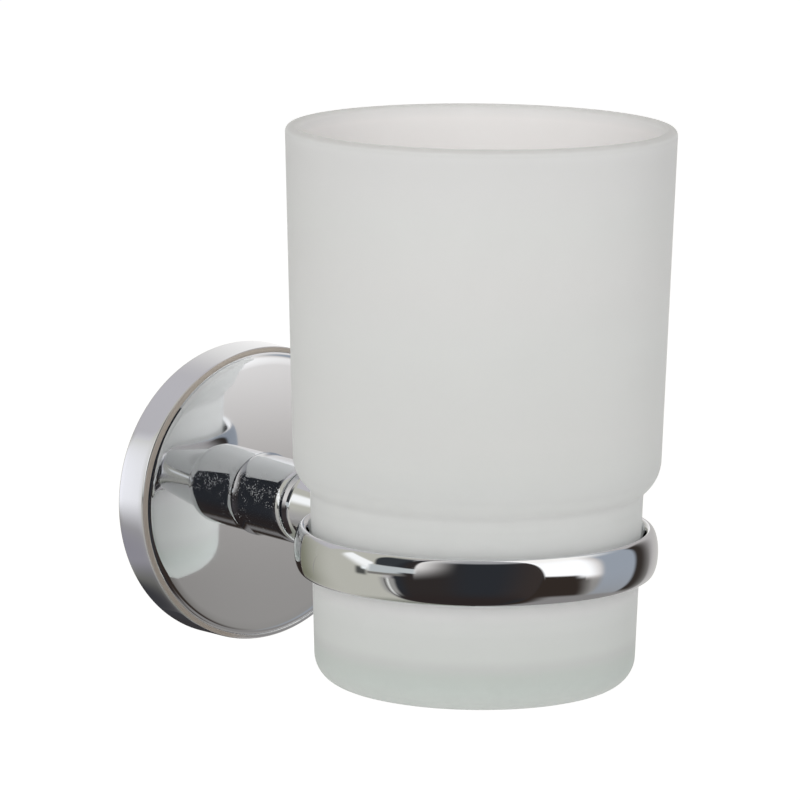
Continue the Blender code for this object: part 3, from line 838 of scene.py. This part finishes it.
# Panels that a photographer hangs round a shiny object, later ones in front of earlier ones. Azimuths run
# from the camera, positive to its right, and elevations from level, in degrees.
tent = {
    "radius": 0.80,
    "segments": (48, 24),
    "leastSoft": 0.01,       # degrees, so that no edge is a bare step
    "strength": 1.33,        # makes up for what the chrome swallows
    "wall": "#aca9a8",
    "panels": [
        # name, colour, azimuths, elevations, how soft the left, right, bottom and top edges are, then by how
        # many degrees the sides move with each degree up, and the top and bottom with each degree right
        ("paleBehindRight", "#bdbdb9", (159, 200), (-26, 0), (26, 0, 0, 30), 0, 0),
        ("paleBehindLeft", "#e6e5e4", (-200, -157), (-34, 72), (0, 28, 0.5, 30), 0, 0),
        ("creamWall", "#b1b0a7", (-142, -60), (-90, 90), (5, 3, 0, 0), 0, 0),
        ("lavenderTopLeft", "#b3b1b5", (-153, -108), (19, 90), (17, 0, 4, 0), 0, 0),
        ("greyLeftEnd", "#6f7060", (-165, -124), (-30, 14), (14, 25, 12, 25), 0, 0),
        ("creamGlow", "#f2f3f2", (-95, -68), (-51, -35), (3, 1.5, 6, 2), 0, -0.71),
        ("shadeLowLeft", "#81837a", (-150, -50), (-90, -55), (10, 4, 0, 12), 0, 0),
        ("shadeBehind", "#333133", (-200, -156), (-90, -15), (0, 0, 0, 3), 0, 0),
        ("darkLeft", "#333639", (-64, -39), (10, 51), (1.5, 0, 1.5, 9), -0.2, 0),
        ("brownUnderRight", "#302925", (-20, 71), (-90, 8), (2, 3, 0, 5), -0.38, 0),
        ("darkFront", "#292b2f", (-53, 41), (-90, 90), (3, 1, 0, 0), 0.14, 0),
        ("brownFrontLeft", "#2d2928", (-46, -14), (-60, 40), (4, 12, 8, 6), 0, 0),
        ("brownFrontRight", "#352f2d", (24, 41), (-40, 60), (14, 1, 8, 8), 0.12, 0),
        ("greyAbove", "#9a9a9c", (-25, 41), (46, 90), (8, 4, 7, 0), 0, 0),
        ("brownFloor", "#2c2625", (-53, 36), (-90, -34), (5, 8, 0, 14), 0.14, 0),
        ("barShade", "#73716d", (-71, -46), (0.5, 4), (1.5, 4, 1, 1), 0, 0.1),
        ("streakGrey", "#8f8e8b", (-62, -52), (-35, -9), (3, 1.5, 8, 1.5), 0, 0),
        ("taperedCardTip", "#b3b8b9", (-53, -38), (4, 13), (3, 1.5, 1, 1), 0, 0.05),
        ("taperedCard", "#b1b6b7", (-70, -48), (4, 16), (2, 4, 1, 1.5), 0, 0.1),
        ("knob", "#4a4b49", (-80, -72), (-9, 1), (2, 2, 2, 2.5), 0, 0),
        ("knobGlint", "#e8ecec", (-75.5, -71.5), (-1.5, 3), (1.5, 1, 1.5, 1.5), 0, 0),
        ("paleLamp", "#ece9e6", (-39, -29), (16, 90), (1, 18, 14, 1), 0, 0.31),
        ("streakDark", "#5c5b59", (-59.5, -58.5), (-40, -10), (0.5, 0.5, 8, 2), 0, 0),
        ("streakPale", "#cfd0cd", (-57.5, -56), (-36, -9), (0.5, 0.5, 8, 2), 0, 0),
        ("neutralCard", "#8a8885", (68, 136), (-56, -7), (8, 2.5, 0, 13), -0.28, 0),
        ("palerCard", "#c5c0bd", (71, 90), (-10, 90), (0, 0.5, 4, 0), 0, 0),
        ("blueCard", "#9299a2", (84, 120), (-36, 90), (4, 0.5, 34, 0), 0, 0),
        ("lampRight", "#ffffff", (42, 79), (-3, 90), (1, 7, 3, 0), -0.1, -0.07),
        ("lampFoot", "#302925", (42, 66), (-3, 5), (0.5, 4, 1, 1.5), 0, -0.15),
        ("lampTopRight", "#f4f2ee", (41, 106), (36, 90), (0, 21, 13, 0), 0, 0),
        ("greyUnderRight", "#82807f", (47, 139), (-90, -37), (9, 30, 0, 4), 0, 0),
        ("brownBand", "#322d2a", (117, 137), (-35, 25), (3, 14, 5, 4), 0, 0),
    ],
}


# The inside of a sphere round the tumbler's axis. A panel's share is the product of four smooth steps: two
# of the azimuth less lean times the elevation, and two of the elevation less slope times the azimuth. By
# that share its colour covers those of the panels before it.
def makeTent():
    shape = bmesh.new()
    around, upward = tent["segments"]
    bmesh.ops.create_uvsphere(shape, u_segments=around, v_segments=upward, radius=tent["radius"])
    mesh = bpy.data.meshes.new("studioTent")
    shape.to_mesh(mesh)
    shape.free()
    piece = linked("studioTent", mesh)
    piece.location = (0, -fits["axisReach"], 0)
    piece.rotation_euler.z = math.atan2(level.y, level.x)
    showToMirrorsOnly(piece)
    material = bpy.data.materials.new("studioPanels")
    tree = emptyTree(material)
    place = addNode(tree, "ShaderNodeTexCoord").outputs["Object"]
    parts = addNode(tree, "ShaderNodeSeparateXYZ", None, {"Vector": place}).outputs
    turn = addNode(tree, "ShaderNodeMath", {"operation": "ARCTAN2"}, {0: parts["Y"], 1: parts["X"]})
    rise = addNode(tree, "ShaderNodeMath", {"operation": "DIVIDE"}, {0: parts["Z"], 1: tent["radius"]})
    rise = addNode(tree, "ShaderNodeMath", {"operation": "ARCSINE"}, {0: rise.outputs["Value"]})
    wallColour = linear(tent["wall"])
    for name, colour, azimuths, elevations, softs, lean, slope in tent["panels"]:
        across = addNode(tree, "ShaderNodeMath", {**multiplyAdd, "label": name}, {
            0: rise.outputs["Value"], 1: -lean, 2: turn.outputs["Value"]})
        along = addNode(tree, "ShaderNodeMath", {**multiplyAdd, "label": name}, {
            0: turn.outputs["Value"], 1: -slope, 2: rise.outputs["Value"]})
        mask = 1.0
        angles = (across, across, along, along)
        for angle, edge, soft, sign in zip(angles, (*azimuths, *elevations), softs, (1, -1, 1, -1)):
            half = (soft + tent["leastSoft"]) * sign
            step = addNode(tree, "ShaderNodeMapRange", smoothstep, {
                "Value": angle.outputs["Value"],
                "From Min": math.radians(edge - half), "From Max": math.radians(edge + half)})
            product = addNode(tree, "ShaderNodeMath", multiply, {0: mask, 1: step.outputs["Result"]})
            mask = product.outputs["Value"]
        mix = addNode(tree, "ShaderNodeMix", colourMix, {
            "Factor": mask, "A": wallColour, "B": linear(colour)})
        wallColour = mix.outputs["Result"]
    glow = addNode(tree, "ShaderNodeEmission", None, {"Color": wallColour, "Strength": tent["strength"]})
    addNode(tree, "ShaderNodeOutputMaterial", None, {"Surface": glow.outputs["Emission"]})
    mesh.materials.append(material)


makeTent()

# Small soft-edged cards close to the flange. Each stands edge-on to one point of the ring, so that the
# flange's side mirrors it and the ring doesn't.
cards = {
    "strength": 1.33,
    "fade": (1.0, 0.2),      # clear and full, as shares of the way from a card's middle to its edge
    "edgeOnTo": (-0.0313, -0.0654, -0.001),
    "placed": [
        # name, colour, the point that mirrors it, direction (azimuth, elevation) and distance from there,
        # half length and half width
        ("greyCard", "#86848b", (-0.0255, -0.0045, -0.0095), (-120.5, -25.5), 0.102, 0.136, 0.046),
        ("paleCard", "#ebebf0", (-0.0274, -0.0045, 0.0), (-107.5, 3.5), 0.109, 0.085, 0.067),
        ("darkCard", "#37373a", (-0.0204, -0.0045, -0.0183), (-149.5, -33.5), 0.059, 0.075, 0.034),
    ],
}


# Each card glows by a smooth step of the length of (x / half length, y / half width), and is clear outside
def makeCards():
    for name, colour, mirror, (turn, rise), distance, halfLength, halfWidth in cards["placed"]:
        seen = towards(turn, rise)
        centre = Vector(mirror) + seen * distance
        along = (centre - Vector(cards["edgeOnTo"])).normalized()
        normal = (seen - along * seen.dot(along)).normalized()
        across = normal.cross(along)
        piece = rectangle(name, halfLength, halfWidth)
        turned = Matrix((along, across, normal)).transposed().to_4x4()
        piece.matrix_world = Matrix.Translation(centre) @ turned
        showToMirrorsOnly(piece)
        material = bpy.data.materials.new(name)
        tree = emptyTree(material)
        place = addNode(tree, "ShaderNodeTexCoord").outputs["Object"]
        away = addNode(tree, "ShaderNodeVectorMath", {"operation": "DIVIDE"}, {
            0: place, 1: (halfLength, halfWidth, 1)})
        away = addNode(tree, "ShaderNodeVectorMath", vectorLength, {0: away.outputs["Vector"]})
        none, full = cards["fade"]
        mask = addNode(tree, "ShaderNodeMapRange", smoothstep, {
            "Value": away.outputs["Value"], "From Min": none, "From Max": full})
        glow = addNode(tree, "ShaderNodeEmission", None, {
            "Color": linear(colour), "Strength": cards["strength"]})
        clear = addNode(tree, "ShaderNodeBsdfTransparent")
        mix = addNode(tree, "ShaderNodeMixShader", None, {
            0: mask.outputs["Result"], 1: clear.outputs["BSDF"], 2: glow.outputs["Emission"]})
        addNode(tree, "ShaderNodeOutputMaterial", None, {"Surface": mix.outputs["Shader"]})
        piece.data.materials.append(material)


makeCards()

studio = {
    "ambient": 0.60,         # light from all round on what isn't a mirror
    "white": "#ffffff",
    "floorHeight": -0.30,
    "floorSize": 8.0,
    "floor": "#f2f2f0",
    "floorLift": 0.50,       # brings the lit paper up to white
    "aimHeight": 0.02,       # of the point that all lamps aim at
    "lamps": [
        # azimuth and elevation from the camera, distance, size, watts
        ("softboxFront", -4, 16, 0.9, 0.5, 1.7),
        ("softboxTop", 10, 80, 0.9, 0.8, 0.4),
        ("softboxBack", 175, 12, 0.9, 0.8, 4.6),
    ],
}


# True for a ray that draws the background itself: what the camera sees, in mirrors and through glass too
def backgroundRay(tree):
    path = addNode(tree, "ShaderNodeLightPath").outputs
    seen = path["Is Camera Ray"]
    for kind in ("Is Glossy Ray", "Is Transmission Ray"):
        either = addNode(tree, "ShaderNodeMath", {"operation": "MAXIMUM"}, {0: seen, 1: path[kind]})
        seen = either.outputs["Value"]
    return seen


# A white world that lights the object less than it shows itself, white paper below that is clear from
# underneath, and three soft lamps that mirrors don't show
def makeStudio():
    world = bpy.data.worlds.new("paleStudio")
    bpy.context.scene.world = world
    tree = emptyTree(world)
    strength = addNode(tree, "ShaderNodeMapRange", None, {
        "Value": backgroundRay(tree), "To Min": studio["ambient"], "To Max": 1.0})
    glow = addNode(tree, "ShaderNodeBackground", None, {
        "Color": linear(studio["white"]), "Strength": strength.outputs["Result"]})
    addNode(tree, "ShaderNodeOutputWorld", None, {"Surface": glow.outputs["Background"]})

    floor = rectangle("studioFloor", studio["floorSize"] / 2, studio["floorSize"] / 2)
    floor.location.z = studio["floorHeight"]
    floor.visible_glossy = False
    material = bpy.data.materials.new("whitePaper")
    tree = emptyTree(material)
    paper = addNode(tree, "ShaderNodeBsdfDiffuse", None, {"Color": linear(studio["floor"])})
    strength = addNode(tree, "ShaderNodeMath", multiply, {
        0: backgroundRay(tree), 1: studio["floorLift"]})
    glow = addNode(tree, "ShaderNodeEmission", None, {
        "Color": linear(studio["white"]), "Strength": strength.outputs["Value"]})
    mix = addNode(tree, "ShaderNodeAddShader", None, {0: paper.outputs["BSDF"], 1: glow.outputs["Emission"]})
    under = addNode(tree, "ShaderNodeNewGeometry").outputs["Backfacing"]
    clear = addNode(tree, "ShaderNodeBsdfTransparent")
    mix = addNode(tree, "ShaderNodeMixShader", None, {
        0: under, 1: mix.outputs["Shader"], 2: clear.outputs["BSDF"]})
    addNode(tree, "ShaderNodeOutputMaterial", None, {"Surface": mix.outputs["Shader"]})
    floor.data.materials.append(material)

    centre = Vector((0, -fits["axisReach"] / 2, studio["aimHeight"]))
    for name, turn, rise, distance, size, power in studio["lamps"]:
        direction = towards(turn, rise)
        data = bpy.data.lights.new(name, "AREA")
        data.size = size
        data.energy = power
        lamp = linked(name, data)
        lamp.location = centre + direction * distance
        lamp.rotation_euler = direction.to_track_quat("Z", "Y").to_euler()
        lamp.visible_glossy = False


makeStudio()
print("studio made")
